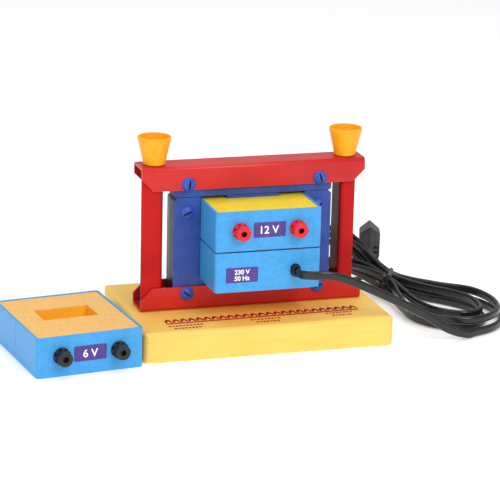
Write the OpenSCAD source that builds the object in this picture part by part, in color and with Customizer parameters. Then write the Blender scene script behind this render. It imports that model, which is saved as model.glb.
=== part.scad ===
// Dissectible demonstration transformer: an E-and-I laminated core held in a red channel frame on a
// base board, a mains coil and a 12 V coil on the centre limb, and a loose 6 V coil beside it.
// Millimetres. X runs along the frame, Y to the back, Z up. The origin is the middle of the board's
// underside. The two knobs free the top bar, which lifts off with the upper yoke so that the coils
// can be changed.

/* [Base board] */
// Length of the board along the frame
base_w = 180; // [170:1:200]
// Depth of the board from front to back
base_d = 117; // [100:1:140]
// Thickness of the board
base_h = 21; // [18:0.5:30]
// Radius of the board's upright corners
base_corner_r = 5; // [2:0.5:8]
// Radius along the board's top edges
base_edge_r = 3.5; // [1:0.5:5]

/* [Frame] */
// How far the channels reach past the core, each end
frame_over = 23.5; // [22:0.1:26]
// Thickness of the steel sheet
sheet = 2; // [1.5:0.1:2.5]
// Height of the channels' flanges
flange_h = 16.8; // [15:0.1:19]
// Outer radius of the bends
bend_r = 3; // [2.6:0.1:4]
// Corner cut off each flange end
end_chamfer = 8.4; // [4:0.1:10]
// Free space between a channel's flange and the core, each side
side_gap = 0.5; // [0.3:0.1:1]
// How far the frame stands behind the middle of the board
frame_y = -1; // [-4:0.5:4]
// From the core to the left post
left_post_gap = 7.4; // [6:0.1:9]
// From the core to the right post
right_post_gap = 6.9; // [6:0.1:9]
// From the frame's left end to the left post
left_inset = 0.5; // [0.2:0.1:2]
// From the frame's right end to the right post
right_inset = 6; // [4:0.5:6.5]
// From each end of the frame to the screw that holds it to the board
base_screw_inset = 6.5; // [5.5:0.1:8]
// Running gap between a post's head and the top channel
head_gap = 0.35; // [0.3:0.05:0.5]

/* [Core] */
// Width of an outer limb, half that of the centre limb
limb_w = 19; // [18.5:0.1:19.2]
// Thickness of the lamination stack
stack = 18; // [16:0.5:19.5]
// Height of the windows beside the centre limb
window_h = 58.5; // [58:0.1:62]
// Height of the lower and upper yokes
yoke_h = 19.5; // [18:0.5:22]
// Air gap between limbs and upper yoke
core_gap = 0.3; // [0.1:0.1:1]
// Corner cut off the outer limbs
limb_chamfer = 2; // [0.5:0.5:4]
// Thickness of the strip between upper yoke and channel
pad_t = 1; // [0.5:0.1:2]

/* [Screws and nuts] */
// Radius of the clamping screws' shanks
screw_r = 2; // [1.5:0.1:2.3]
// Radius of their domed heads
screw_head_r = 5; // [4:0.1:5.2]
// Height of their domed heads
screw_head_h = 3; // [2:0.1:4]
// Free space round a screw in its hole
screw_gap = 0.2; // [0.1:0.05:0.4]
// Width across flats of the clamping nuts
nut_af = 7; // [6:0.5:8]
// Height of the clamping nuts
nut_h = 3.2; // [2.5:0.1:4]
// Thickness of the washers
washer_t = 0.8; // [0.5:0.1:1.5]

/* [Clamp knobs] */
// From each end of the frame to the knob's axis
knob_inset = 11.3; // [10.5:0.1:13]
// Height of a knob
knob_h = 19.6; // [18:0.2:24]
// Radius at the rim
knob_top_r = 11.6; // [10.5:0.1:12.5]
// Radius at the foot
knob_foot_r = 7.8; // [7:0.1:8.6]
// Depth of the cup in the knob's top
cup_depth = 11; // [8:0.5:12.5]
// Wall of the cup
cup_wall = 1.5; // [1:0.1:2]
// Radius of the clamping stud
stud_r = 3; // [2.5:0.1:3.2]
// Running gap round the stud
stud_gap = 0.06; // [0.03:0.01:0.09]
// Gap under the knob's foot
foot_gap = 0.2; // [0.1:0.05:0.3]

/* [Coils] */
// Free space between a coil's case and each outer limb
coil_play = 0.3; // [0.2:0.05:1.5]
// Depth of a coil's case
coil_d = 88; // [80:0.5:94]
// Slit between the two coils on the core
coil_slit = 1; // [0.5:0.1:1.5]
// Height of the window that two coils and their slit leave free
window_play = 1.5; // [0.8:0.1:4]
// Wall of the case
case_wall = 1.6; // [1.2:0.1:2]
// Radius of the case's upright corners
case_corner_r = 2.5; // [2.1:0.1:4]
// Seam between the front and back halves
case_seam = 0.3; // [0.1:0.05:0.5]
// From the case's front to its opening for the limb
hole_front = 37.3; // [33:0.1:40]
// Free space in front of the limb in the opening
limb_front_gap = 0.2; // [0.1:0.05:1]
// Free space behind the limb in the opening
limb_back_gap = 4.8; // [1:0.1:6]
// Free space beside the limb in the opening, each side
limb_side_gap = 0.5; // [0.3:0.1:1]
// Wall of the bobbin's tube
tube_wall = 1.5; // [1:0.1:2]
// Thickness of the bobbin's cheeks
cheek_t = 1.5; // [1:0.1:2]
// Thickness of the coloured plate on the top cheek
plate_t = 0.8; // [0.5:0.1:1.2]
// How far the coloured plate lies below the rim
plate_recess = 0.6; // [0.3:0.1:1]
// Free space between the winding and the case's sides
winding_clear = 3; // [1:0.1:6]
// Turn of the loose coil against the board
loose_turn = 7; // [0:0.5:12]

/* [Terminals] */
// Distance of each terminal from the coil's middle
terminal_x = 20.3; // [16:0.1:22]
// Height of the terminals above the case's foot
terminal_z = 14.4; // [13:0.1:16]
// Radius of the fixed brass stem
stem_r = 1.5; // [1.3:0.1:1.7]
// Length of stem that stands out of the case
stem_out = 3.6; // [3.2:0.1:4]
// Radius of the insulating collar
collar_r = 5.9; // [5.5:0.1:6.5]
// Thickness of the insulating collar
collar_t = 1.2; // [0.8:0.1:2]
// Radius of the head over its flutes
head_r = 5.8; // [5.4:0.1:6]
// Length of the fluted part
flute_len = 4.2; // [3:0.1:5.5]
// Radius of the head's smooth front
face_r = 5.1; // [4.8:0.1:5.4]
// Length of the fluted head
head_len = 7.4; // [7:0.1:9]
// Number of flutes round the head
flutes = 8; // [6:1:12]
// Radius of the brass insert
insert_r = 3.2; // [2.8:0.1:3.5]
// Radius of the socket for a 4 mm plug
socket_r = 2.05; // [2.05:0.01:2.1]
// Running gap between head and insert
insert_gap = 0.05; // [0.03:0.01:0.08]
// Front wall of the head
head_front = 1.2; // [0.8:0.1:2]

/* [Label plates] */
// Width of a label plate
label_w = 22.8; // [18:0.2:24]
// Height of a label plate
label_h = 10.6; // [8:0.2:12]
// Thickness of a label plate
label_t = 0.4; // [0.2:0.1:0.8]
// How far the mains coil's plate stands left of the middle
mains_label_x = 18.6; // [0:0.2:24]
// Height of the mains coil's plate above the case's foot
mains_label_z = 12.2; // [8:0.2:16]

/* [Mains lead] */
// Width of the flat flex
flex_w = 6; // [5.5:0.1:6.2]
// Thickness of the flat flex
flex_t = 3.6; // [3.2:0.1:3.8]
// Distance of the lead's exit from the coil's middle
exit_x = 19.4; // [15:0.2:24]
// Height of the lead's exit above the case's foot
exit_z = 13.4; // [11:0.2:16]
// Length of the bush that the lead leaves by
bush_len = 5; // [3:0.5:8]
// How far the bush's flange stands out round the flex
bush_rim = 1.7; // [1.2:0.1:2.4]
// Width of the plug
plug_w = 15.2; // [14:0.2:18]
// Depth of the plug without its pins
plug_d = 20; // [18:0.5:26]
// Height of the plug
plug_h = 33.5; // [30:0.5:40]
// Radius of a plug pin
pin_r = 2.4; // [2:0.1:2.5]
// Length of a plug pin
pin_len = 19; // [18:0.5:20]
// Distance between the pins
pin_pitch = 19; // [18:0.5:19.5]

/* [Hidden] */
$fn = 48;

// Colours as photographed
cream = "#fbdc78";
red = "#e0362c";
core_blue = "#3a50a8";
case_blue = "#4aa0e6";
plate_yellow = "#ebd747";
plate_tan = "#eebc6e";
bobbin_orange = "#e19114";
knob_yellow = "#fab31e";
label_purple = "#553c8c";
terminal_red = "#d81e2c";
rubber_black = "#242427";
copper = "#b5642c";
brass = "#c9a44a";
steel = "#b9bcc2";

// Frame
half_core = 3 * limb_w;
frame_len = 2 * (half_core + frame_over);
knob_x = frame_len / 2 - knob_inset;
frame_d = stack + 2 * side_gap + 2 * sheet;
frame_front = frame_y - frame_d / 2;
frame_back = frame_y + frame_d / 2;
post_front = frame_front + sheet + head_gap;
post_back = frame_back - sheet - head_gap;
// How high the channel's inner bend reaches at that distance from the flange
bend_in = bend_r - sheet;
function bend_rise(gap) =
    let (far = bend_in - min(gap, bend_in)) bend_in - sqrt(bend_in * bend_in - far * far);
floor_z = base_h + sheet;
core_z = floor_z + bend_rise(min(side_gap, head_gap)) + 0.02;
core_h = yoke_h + window_h;
core_top = core_z + core_h;
core_front = frame_y - stack / 2;
core_back = frame_y + stack / 2;
bolt_x = 2.5 * limb_w;
low_bolt_z = yoke_h / 2;
high_bolt_z = core_h - limb_w * 0.55;
yoke_z = core_top + core_gap;
frame_top = yoke_z + yoke_h + pad_t + sheet;
left_outer = frame_len / 2 - left_inset;
right_outer = frame_len / 2 - right_inset;
// A post's head carries the nut for the clamping stud, and stays behind the channel's flange
head_half = 9;
tab_gap = bend_rise(head_gap) + 0.3;
tab_top = frame_top - sheet - tab_gap;
head_z = frame_top - flange_h + end_chamfer + head_half - knob_inset + 0.5;
stud_hole = 0.4;
post_nut_af = 10;
post_nut_h = 5;
stud_drop = 11;
leg_top = min(head_z, frame_top - stud_drop) - 0.8;
stud_grip = knob_h - cup_depth - 1.2;
bolt_out = 1.8;
slot_w = 1.5;
base_screw_x = frame_len / 2 - base_screw_inset;
base_screw_r = 1.9;
base_screw_len = 14;

// Coils
coil_w = 4 * limb_w - 2 * coil_play;
coil_h = (window_h - window_play - coil_slit) / 2;
mains_z = core_z + yoke_h + 0.1;
upper_z = mains_z + coil_h + coil_slit;
coil_y = core_front - limb_front_gap - hole_front + coil_d / 2;
coil_front = -coil_d / 2;
hole_w = 2 * (limb_w + limb_side_gap);
hole_d = limb_front_gap + stack + limb_back_gap;
hole_y = coil_front + hole_front + hole_d / 2;
inner_w = coil_w - 2 * case_wall;
inner_d = coil_d - 2 * case_wall;
cheek_gap = 0.1;
cheek_w = inner_w - 2 * cheek_gap;
cheek_d = inner_d - 2 * cheek_gap;
cheek_r = case_corner_r - case_wall;
plate_z = coil_h - plate_recess - plate_t;
top_cheek_z = plate_z - cheek_t;
foot_recess = 0.5;
winding_gap = 0.15;
winding_t = (inner_w - hole_w) / 2 - tube_wall - winding_gap - winding_clear;
stem_hole_gap = 1;
stem_in = 6;
stem_flange_r = 4.5;
stem_flange_t = 1.5;
head_clear = 0.1;
insert_len = head_len - head_front - 0.3;
thread_depth = stem_out - collar_t + 0.2;
thread_gap = 0.04;
partition_t = 0.7;
// The loose coil's front right corner stands just beside the board
loose_corner = [-base_w / 2 - 1.5, -base_d / 2 - 4.2];

// Mains lead: route points chosen by hand
bush_tip = [exit_x, coil_y + coil_front - bush_len, mains_z + exit_z];
free_route = [
    [20.5, -59.5, 56.2], [27, -65.5, 57], [38, -68, 57], [52, -68, 52.5], [68, -67.5, 45],
    [84, -67, 37], [100, -65.5, 28.5], [115, -63.5, 19.5], [130, -61.5, 9.5]];
tail_route = [[56, 51, 55], [44, 62, 44], [43, 74, 27], [50, 84, 10], [64, 91, 2.8], [82, 92.5, 2.4]];
// Hank stations: place along the hank, its middle there, and the way across it
hank_stations = [
    [-1.3, [33, 43, 41], [0, 0.6, 0.8]],
    [-0.5, [76, 45, 39], [0, 0.6, 0.8]],
    [-0.25, [101, 53, 30], [0.1, 0.65, 0.75]],
    [0, [121, 50, 8], [0.42, 0.88, -0.15]],
    [0.4, [138, 16, 3.4], [0.84, 0.54, 0]],
    [1.3, [184, -82, 3.4], [0.84, 0.54, 0]]];
hank_turns = 3.4;
hank_start = -15;
hank_reverse = hank_turns / 2;
hank_rings = 24;
hank_layer = flex_w + 1.2;
hank_lane = flex_t + 1.15;
plug_turn = -17.5;
plug_at = [118.5, 72];
plug_z = 14;
plug_nose = 5;
plug_entry = 12;
tail_bend = 12;

// ---- plain shapes ----

// Flat rectangle with round corners
module round_rect(w, d, r) {
    square([w - 2 * r, d], center = true);
    square([w, d - 2 * r], center = true);
    for (x = [-1, 1], y = [-1, 1])
        translate([x * (w / 2 - r), y * (d / 2 - r)]) circle(r);
}

// Upright profile with its two upper corners round, standing on y = 0
module arched(w, h, r) {
    translate([-w / 2, 0]) square([w, h - r]);
    translate([-w / 2 + r, 0]) square([w - 2 * r, h]);
    for (x = [-1, 1]) translate([x * (w / 2 - r), h - r]) circle(r);
}

// Extrudes a Y-Z profile along X
module along_x(len) {
    rotate([90, 0, 90]) linear_extrude(len, center = true) children();
}

// Extrudes an X-Z profile along Y
module along_y(len) {
    rotate([90, 0, 0]) linear_extrude(len, center = true) children();
}

// Cylinder along Y from y0 to y1
module rod_y(x, z, r, y0, y1) {
    translate([x, y1, z]) rotate([90, 0, 0]) cylinder(r = r, h = y1 - y0);
}

// ---- base and frame ----

module base_board() {
    color(cream) difference() {
        intersection() {
            linear_extrude(base_h) round_rect(base_w, base_d, base_corner_r);
            along_y(base_d + 2) arched(base_w, base_h, base_edge_r);
            along_x(base_w + 2) arched(base_d, base_h, base_edge_r);
        }
        for (x = [-1, 1])
            translate([x * base_screw_x, frame_y, base_h - base_screw_len])
                cylinder(r = base_screw_r + 0.05, h = base_screw_len + 1);
    }
}

// Channel open downwards, its flange edges on z = 0
module channel() {
    difference() {
        along_x(frame_len) difference() {
            arched(frame_d, flange_h, bend_r);
            translate([0, -1]) arched(frame_d - 2 * sheet, flange_h - sheet + 1, bend_r - sheet);
        }
        for (x = [-1, 1]) translate([x * frame_len / 2, 0, 0]) rotate([0, 45, 0])
            cube([end_chamfer * sqrt(2), frame_d + 2, end_chamfer * sqrt(2)], center = true);
    }
}

// Holes for the two screws through a channel and the yoke in it
module yoke_holes(z, d) {
    for (x = [-1, 1]) rod_y(x * bolt_x, z, screw_r + screw_gap, frame_y - d, frame_y + d);
}

module bottom_channel() {
    color(red) difference() {
        translate([0, frame_y, base_h + flange_h]) mirror([0, 0, 1]) channel();
        yoke_holes(core_z + low_bolt_z, frame_d);
        for (x = [-1, 1]) translate([x * base_screw_x, frame_y, base_h - 1])
            cylinder(r = base_screw_r + 0.15, h = sheet + 2);
    }
}

module base_screws() {
    color(steel) for (x = [-1, 1]) translate([x * base_screw_x, frame_y, floor_z]) {
        difference() {
            intersection() {
                cylinder(r = 3.6, h = 2.4);
                translate([0, 0, -2.6]) sphere(5);
            }
            translate([-5, -0.6, 1.2]) cube([10, 1.2, 3]);
        }
        translate([0, 0, -base_screw_len - sheet + 1])
            cylinder(r = base_screw_r, h = base_screw_len + sheet - 1);
    }
}

// Plan of a post: front leg along X, inner leg going back at x = 0
module post_plan(width, depth) {
    difference() {
        union() {
            translate([bend_r, 0]) square([width - bend_r, depth]);
            translate([0, bend_r]) square([width, depth - bend_r]);
            translate([bend_r, bend_r]) circle(bend_r);
        }
        translate([sheet, sheet]) square([width, depth]);
    }
}

// Post on the right, from x = inner to x = outer
module post(inner, outer) {
    depth = post_back - post_front;
    width = outer - inner;
    color(red) difference() {
        union() {
            translate([inner, post_front, core_z]) linear_extrude(leg_top - core_z) post_plan(width, depth);
            translate([inner + bend_r, post_front, leg_top - 1])
                cube([width - bend_r, sheet, tab_top - leg_top + 1]);
            translate([knob_x - head_half, post_front, head_z])
                cube([2 * head_half, sheet, tab_top - head_z]);
            translate([knob_x - head_half, post_front, tab_top - sheet])
                cube([2 * head_half, depth, sheet]);
        }
        translate([knob_x, frame_y, tab_top - sheet - 1]) cylinder(r = stud_r + stud_hole, h = sheet + 2);
    }
}

module post_left() {
    mirror([1, 0, 0]) post(half_core + left_post_gap, left_outer);
}

module post_right() {
    post(half_core + right_post_gap, right_outer);
}

module post_nuts() {
    color(steel) for (x = [-1, 1])
        translate([x * knob_x, frame_y, tab_top - sheet - post_nut_h]) difference() {
            cylinder(r = post_nut_af / sqrt(3), h = post_nut_h, $fn = 6);
            translate([0, 0, -1]) cylinder(r = stud_r + stud_gap, h = post_nut_h + 2);
        }
}

// ---- core ----

module e_core() {
    a = limb_w;
    c = limb_chamfer;
    color(core_blue) difference() {
        translate([0, frame_y, core_z]) along_y(stack) polygon([
            [-half_core, 0], [half_core, 0], [half_core, core_h - c], [half_core - c, core_h],
            [half_core - a, core_h], [half_core - a, yoke_h], [a, yoke_h], [a, core_h],
            [-a, core_h], [-a, yoke_h], [a - half_core, yoke_h], [a - half_core, core_h],
            [c - half_core, core_h], [-half_core, core_h - c]]);
        yoke_holes(core_z + low_bolt_z, frame_d);
        yoke_holes(core_z + high_bolt_z, frame_d);
    }
}

module top_yoke() {
    c = limb_chamfer / 2;
    color(core_blue) difference() {
        translate([0, frame_y, yoke_z]) along_y(stack) polygon([
            [c - half_core, 0], [half_core - c, 0], [half_core, c], [half_core, yoke_h],
            [-half_core, yoke_h], [-half_core, c]]);
        yoke_holes(yoke_z + yoke_h / 2, frame_d);
    }
}

module yoke_pad() {
    pad_d = min(stack, stack + 2 * side_gap - 2 * bend_in);
    color("#5a3a24") translate([-half_core, frame_y - pad_d / 2, yoke_z + yoke_h])
        cube([2 * half_core, pad_d, pad_t]);
}

module top_channel() {
    color(red) difference() {
        translate([0, frame_y, frame_top - flange_h]) channel();
        yoke_holes(yoke_z + yoke_h / 2, frame_d);
        for (x = [-1, 1]) translate([x * knob_x, frame_y, frame_top - sheet - 1])
            cylinder(r = stud_r + stud_hole, h = sheet + 2);
    }
}

// Domed slotted screw, its head's underside at y = y0, pointing back
module screw(x, z, y0, len, turn) {
    dome = 1.08 * (screw_head_r * screw_head_r + screw_head_h * screw_head_h) / (2 * screw_head_h);
    translate([x, y0, z]) rotate([90, 0, 0]) {
        difference() {
            intersection() {
                cylinder(r = screw_head_r, h = screw_head_h);
                translate([0, 0, screw_head_h - dome]) sphere(dome);
            }
            rotate([0, 0, turn]) translate([0, 0, screw_head_h])
                cube([3 * screw_head_r, slot_w, screw_head_h], center = true);
        }
        translate([0, 0, -len]) cylinder(r = screw_r, h = len);
    }
}

// Washer and nut on a screw's end, seated on y = y0
module nut_and_washer(x, z, y0) {
    difference() {
        rod_y(x, z, nut_af * 0.65, y0, y0 + washer_t);
        rod_y(x, z, screw_r + screw_gap, y0 - 1, y0 + washer_t + 1);
    }
    difference() {
        translate([x, y0 + washer_t + nut_h, z]) rotate([90, 0, 0])
            cylinder(r = nut_af / sqrt(3), h = nut_h, $fn = 6);
        rod_y(x, z, screw_r + 0.05, y0, y0 + washer_t + nut_h + 1);
    }
}

screw_tail = washer_t + nut_h + bolt_out;

module core_bolts() {
    color(core_blue) for (x = [-1, 1]) {
        screw(x * bolt_x, core_z + low_bolt_z, frame_front, frame_d + screw_tail, x * 28 - 8);
        screw(x * bolt_x, core_z + high_bolt_z, core_front, stack + screw_tail, 32 + x * 6);
    }
}

module core_nuts() {
    color(core_blue) for (x = [-1, 1]) {
        nut_and_washer(x * bolt_x, core_z + low_bolt_z, frame_back);
        nut_and_washer(x * bolt_x, core_z + high_bolt_z, core_back);
    }
}

module yoke_bolts() {
    color(core_blue) for (x = [-1, 1])
        screw(x * bolt_x, yoke_z + yoke_h / 2, frame_front, frame_d + screw_tail, 94 + x * 12);
}

module yoke_nuts() {
    color(core_blue) for (x = [-1, 1])
        nut_and_washer(x * bolt_x, yoke_z + yoke_h / 2, frame_back);
}

// ---- clamp knobs ----

module stud(side) {
    color(steel) translate([side * knob_x, frame_y, frame_top - stud_drop])
        cylinder(r = stud_r, h = stud_drop + foot_gap + stud_grip);
}

module knob(side) {
    r0 = knob_foot_r;
    r1 = knob_top_r;
    floor_z = knob_h - cup_depth;
    bore_h = min(stud_grip + 0.1, floor_z - 0.1);
    color(knob_yellow) translate([side * knob_x, frame_y, frame_top + foot_gap])
        rotate_extrude($fn = 64) polygon([
            [stud_r + stud_gap, 0], [r0 - 0.5, 0], [r0, 0.5], [r0 + 0.1, 2],
            [r1 - 0.5, knob_h - 4], [r1, knob_h - 2.2], [r1, knob_h - 0.4], [r1 - 0.4, knob_h],
            [r1 - cup_wall + 0.3, knob_h], [r1 - cup_wall, knob_h - 0.4],
            [r0 + 0.6, floor_z + 1], [r0 - 0.6, floor_z], [0, floor_z], [0, bore_h],
            [stud_r + stud_gap, bore_h]]);
}

module stud_left() { stud(-1); }
module stud_right() { stud(1); }
module knob_left() { knob(-1); }
module knob_right() { knob(1); }

// ---- coils, drawn with the foot's middle at the origin and the front towards -Y ----

module on_core(z) {
    translate([0, coil_y, z]) children();
}

module beside_board() {
    translate([loose_corner[0], loose_corner[1], 0]) rotate([0, 0, loose_turn])
        translate([-coil_w / 2, coil_d / 2, 0]) children();
}

// One half of the case: side is -1 for the front half and 1 for the back half
module case_half(side) {
    depth = (coil_d - case_seam) / 2;
    difference() {
        linear_extrude(coil_h) intersection() {
            difference() {
                round_rect(coil_w, coil_d, case_corner_r);
                round_rect(inner_w, inner_d, cheek_r);
            }
            translate([-coil_w, side < 0 ? coil_front : coil_d / 2 - depth])
                square([2 * coil_w, depth]);
        }
        children();
    }
}

module terminal_holes() {
    for (x = [-1, 1])
        rod_y(x * terminal_x, terminal_z, stem_r + stem_hole_gap, coil_front - 1, coil_front + 4);
}

module bobbin() {
    tube_w = hole_w + 2 * tube_wall;
    tube_d = hole_d + 2 * tube_wall;
    color(bobbin_orange) difference() {
        union() {
            translate([0, 0, foot_recess]) linear_extrude(cheek_t)
                round_rect(cheek_w, cheek_d, cheek_r);
            translate([0, 0, foot_recess]) linear_extrude(plate_z - foot_recess)
                translate([0, hole_y]) round_rect(tube_w, tube_d, 1.5);
            translate([0, 0, top_cheek_z]) linear_extrude(cheek_t)
                round_rect(cheek_w, cheek_d, cheek_r);
        }
        translate([0, hole_y, -1]) linear_extrude(coil_h + 2) square([hole_w, hole_d], center = true);
    }
}

module winding() {
    w = hole_w + 2 * tube_wall + 2 * winding_gap;
    d = hole_d + 2 * tube_wall + 2 * winding_gap;
    z0 = foot_recess + cheek_t;
    color(copper) translate([0, hole_y, z0]) linear_extrude(top_cheek_z - z0) difference() {
        round_rect(w + 2 * winding_t, d + 2 * winding_t, winding_t * 0.7);
        round_rect(w, d, 1.6);
    }
}

module top_plate(shade) {
    color(shade) translate([0, 0, plate_z]) linear_extrude(plate_t) difference() {
        round_rect(cheek_w, cheek_d, cheek_r);
        translate([0, hole_y]) square([hole_w, hole_d], center = true);
    }
}

module label_plate(x, z) {
    color(label_purple) translate([x, coil_front - label_t / 2, z]) along_y(label_t)
        round_rect(label_w, label_h, 0.8);
}

module stems() {
    color(brass) for (x = [-1, 1]) {
        rod_y(x * terminal_x, terminal_z, stem_r, coil_front - stem_out,
            coil_front + case_wall + stem_in);
        rod_y(x * terminal_x, terminal_z, stem_flange_r, coil_front + case_wall,
            coil_front + case_wall + stem_flange_t);
    }
}

module collars(shade) {
    color(shade) for (x = [-1, 1]) difference() {
        rod_y(x * terminal_x, terminal_z, collar_r, coil_front - collar_t, coil_front);
        rod_y(x * terminal_x, terminal_z, stem_r + stem_hole_gap, coil_front - collar_t - 1,
            coil_front + 1);
    }
}

// Head and insert start just clear of the collar's face
head_back = coil_front - collar_t - head_clear;

module insert(side) {
    x = side * terminal_x;
    color(brass) difference() {
        rod_y(x, terminal_z, insert_r, head_back - insert_len, head_back);
        rod_y(x, terminal_z, socket_r, head_back - insert_len - 1,
            head_back - thread_depth - partition_t);
        rod_y(x, terminal_z, stem_r + thread_gap, head_back - thread_depth, head_back + 1);
    }
}

module head(side, shade) {
    x = side * terminal_x;
    color(shade) difference() {
        translate([x, head_back, terminal_z]) rotate([90, 0, 0]) {
            linear_extrude(flute_len) difference() {
                circle(head_r);
                for (i = [0 : flutes - 1]) rotate(360 * (i + 0.5) / flutes)
                    translate([head_r + 0.6, 0]) circle(1.5);
            }
            translate([0, 0, flute_len - 0.5]) cylinder(r = face_r, h = head_len - flute_len + 0.5);
        }
        rod_y(x, terminal_z, insert_r + insert_gap, head_back - head_len + head_front, head_back + 1);
        rod_y(x, terminal_z, socket_r, head_back - head_len - 1, head_back);
    }
}

// Outline of the flat flex, grown by a distance
module bush_plan(grow) {
    round_rect(flex_t + 2 * grow, flex_w + 2 * grow, flex_t / 2 + grow - 0.05);
}

module mains_case_front() {
    color(case_blue) on_core(mains_z) case_half(-1)
        translate([exit_x, coil_front + 4, exit_z]) rotate([90, 0, 0]) linear_extrude(5)
            bush_plan(bush_rim - 0.9);
}
module mains_case_back() { color(case_blue) on_core(mains_z) case_half(1); }
module mains_bobbin() { on_core(mains_z) bobbin(); }
module mains_winding() { on_core(mains_z) winding(); }
module mains_top_plate() { on_core(mains_z) top_plate(plate_yellow); }
module mains_label() { on_core(mains_z) label_plate(-mains_label_x, mains_label_z); }

module case_front_12v() { color(case_blue) on_core(upper_z) case_half(-1) terminal_holes(); }
module case_back_12v() { color(case_blue) on_core(upper_z) case_half(1); }
module bobbin_12v() { on_core(upper_z) bobbin(); }
module winding_12v() { on_core(upper_z) winding(); }
module top_plate_12v() { on_core(upper_z) top_plate(plate_yellow); }
module label_12v() { on_core(upper_z) label_plate(0.4, terminal_z); }
module stems_12v() { on_core(upper_z) stems(); }
module collars_12v() { on_core(upper_z) collars(terminal_red); }
module insert_12v_left() { on_core(upper_z) insert(-1); }
module insert_12v_right() { on_core(upper_z) insert(1); }
module head_12v_left() { on_core(upper_z) head(-1, terminal_red); }
module head_12v_right() { on_core(upper_z) head(1, terminal_red); }

module case_front_6v() { color(case_blue) beside_board() case_half(-1) terminal_holes(); }
module case_back_6v() { color(case_blue) beside_board() case_half(1); }
module bobbin_6v() { beside_board() bobbin(); }
module winding_6v() { beside_board() winding(); }
module top_plate_6v() { beside_board() top_plate(plate_tan); }
module label_6v() { beside_board() label_plate(0, terminal_z); }
module stems_6v() { beside_board() stems(); }
module collars_6v() { beside_board() collars(rubber_black); }
module insert_6v_left() { beside_board() insert(-1); }
module insert_6v_right() { beside_board() insert(1); }
module head_6v_left() { beside_board() head(-1, rubber_black); }
module head_6v_right() { beside_board() head(1, rubber_black); }

// ---- mains lead ----

function unit(v) = v / norm(v);

// Middle and crosswise direction of the hank at place s
function station(s, col, k) = lookup(s, [for (st = hank_stations) [st[0], st[col][k]]]);
function at_station(s, col) = [for (k = [0 : 2]) station(s, col, k)];
function hank_line(s, col) =
    (at_station(s - 0.12, col) + 2 * at_station(s, col) + at_station(s + 0.12, col)) / 4;
function hank_cross(s) = unit(hank_line(s, 2));
function hank_up(s) = unit(cross(hank_line(s + 0.03, 1) - hank_line(s - 0.03, 1), hank_cross(s)));

function squared(v) = sign(v) * pow(abs(v), 0.78);
function lane(t) = abs(hank_reverse - t);
function hank_place(t) =
    (0.82 + 0.1 * lane(t)) * squared(cos(hank_start + 360 * t));
function lobe(t, s) = s > 0 ? 21 + 17 * lane(t) : 6.5 + 7.5 * lane(t);
function hank_half(t, s) =
    let (waist = flex_t / 2 + 0.6 + hank_lane * lane(t))
    waist + (lobe(t, s) - waist) * pow(min(1, abs(s) / 0.62), 1.3);
function climb(t) =
    let (x = min(1, max(0, (t - hank_reverse) / 0.3 + 0.54)))
    x * x * (3 - 2 * x);
function hank_point(t) =
    let (s = hank_place(t))
    hank_line(s, 1) + hank_cross(s) * hank_half(t, s) * squared(sin(hank_start + 360 * t))
    + hank_up(s) * hank_layer * climb(t);

hank_times = [for (i = [0 : floor(hank_turns * hank_rings)]) i / hank_rings];
hank_curve = [for (t = hank_times) hank_point(t)];
hank_last = len(hank_curve) - 1;
start_dir = unit(hank_curve[1] - hank_curve[0]);
end_dir = unit(hank_curve[hank_last] - hank_curve[hank_last - 1]);
hank_first = hank_curve[0] - start_dir * flex_w;
hank_end = hank_curve[hank_last] + end_dir * flex_w;
hank_points = concat([hank_first], hank_curve, [hank_end]);
hank_wides = concat([hank_up(hank_place(0))], [for (t = hank_times) hank_up(hank_place(t))],
    [hank_up(hank_place(hank_times[hank_last]))]);

// The flex as one solid through the points, its width along the wide directions
module flex(points, wides, first_dir, last_dir, sides) {
    n = len(points);
    dirs = [for (i = [0 : n - 1])
        i == 0 ? first_dir : i == n - 1 ? last_dir : unit(points[i + 1] - points[i - 1])];
    verts = [for (i = [0 : n - 1])
        let (w = unit(wides[i] - (wides[i] * dirs[i]) * dirs[i]), b = cross(dirs[i], w))
        for (j = [0 : sides - 1])
            points[i] + b * flex_t / 2 * cos(360 * j / sides) + w * flex_w / 2 * sin(360 * j / sides)];
    skin = [for (i = [0 : n - 2], j = [0 : sides - 1])
        let (k = (j + 1) % sides, p = i * sides, q = p + sides)
        each [[p + j, q + j, p + k], [p + k, q + j, q + k]]];
    ends = [for (j = [1 : sides - 2])
        each [[0, j, j + 1], [(n - 1) * sides, (n - 1) * sides + j + 1, (n - 1) * sides + j]]];
    color(rubber_black) polyhedron(verts, concat(skin, ends));
}

// Smooth line through the points p, with one more point between each two of them
function between(a, b, c, d) = (9 * (b + c) - a - d) / 16;
function smooth_route(p, first_dir, last_dir) =
    let (n = len(p),
        q = concat([p[1] - 2 * norm(p[1] - p[0]) * first_dir], p,
            [p[n - 2] + 2 * norm(p[n - 1] - p[n - 2]) * last_dir]))
    concat([for (i = [0 : n - 2]) each [p[i], between(q[i], q[i + 1], q[i + 2], q[i + 3])]], [p[n - 1]]);

up = [0, 0, 1];
free_points = smooth_route(concat([bush_tip], free_route, [hank_first]), [0, -1, 0], start_dir);
module cord_free() {
    wides = [for (i = [0 : len(free_points) - 1]) i == len(free_points) - 1 ? hank_wides[0] : up];
    flex(free_points, wides, [0, -1, 0], start_dir, 8);
}

module cord_hank() {
    flex(hank_points, hank_wides, start_dir, end_dir, 6);
}

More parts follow.
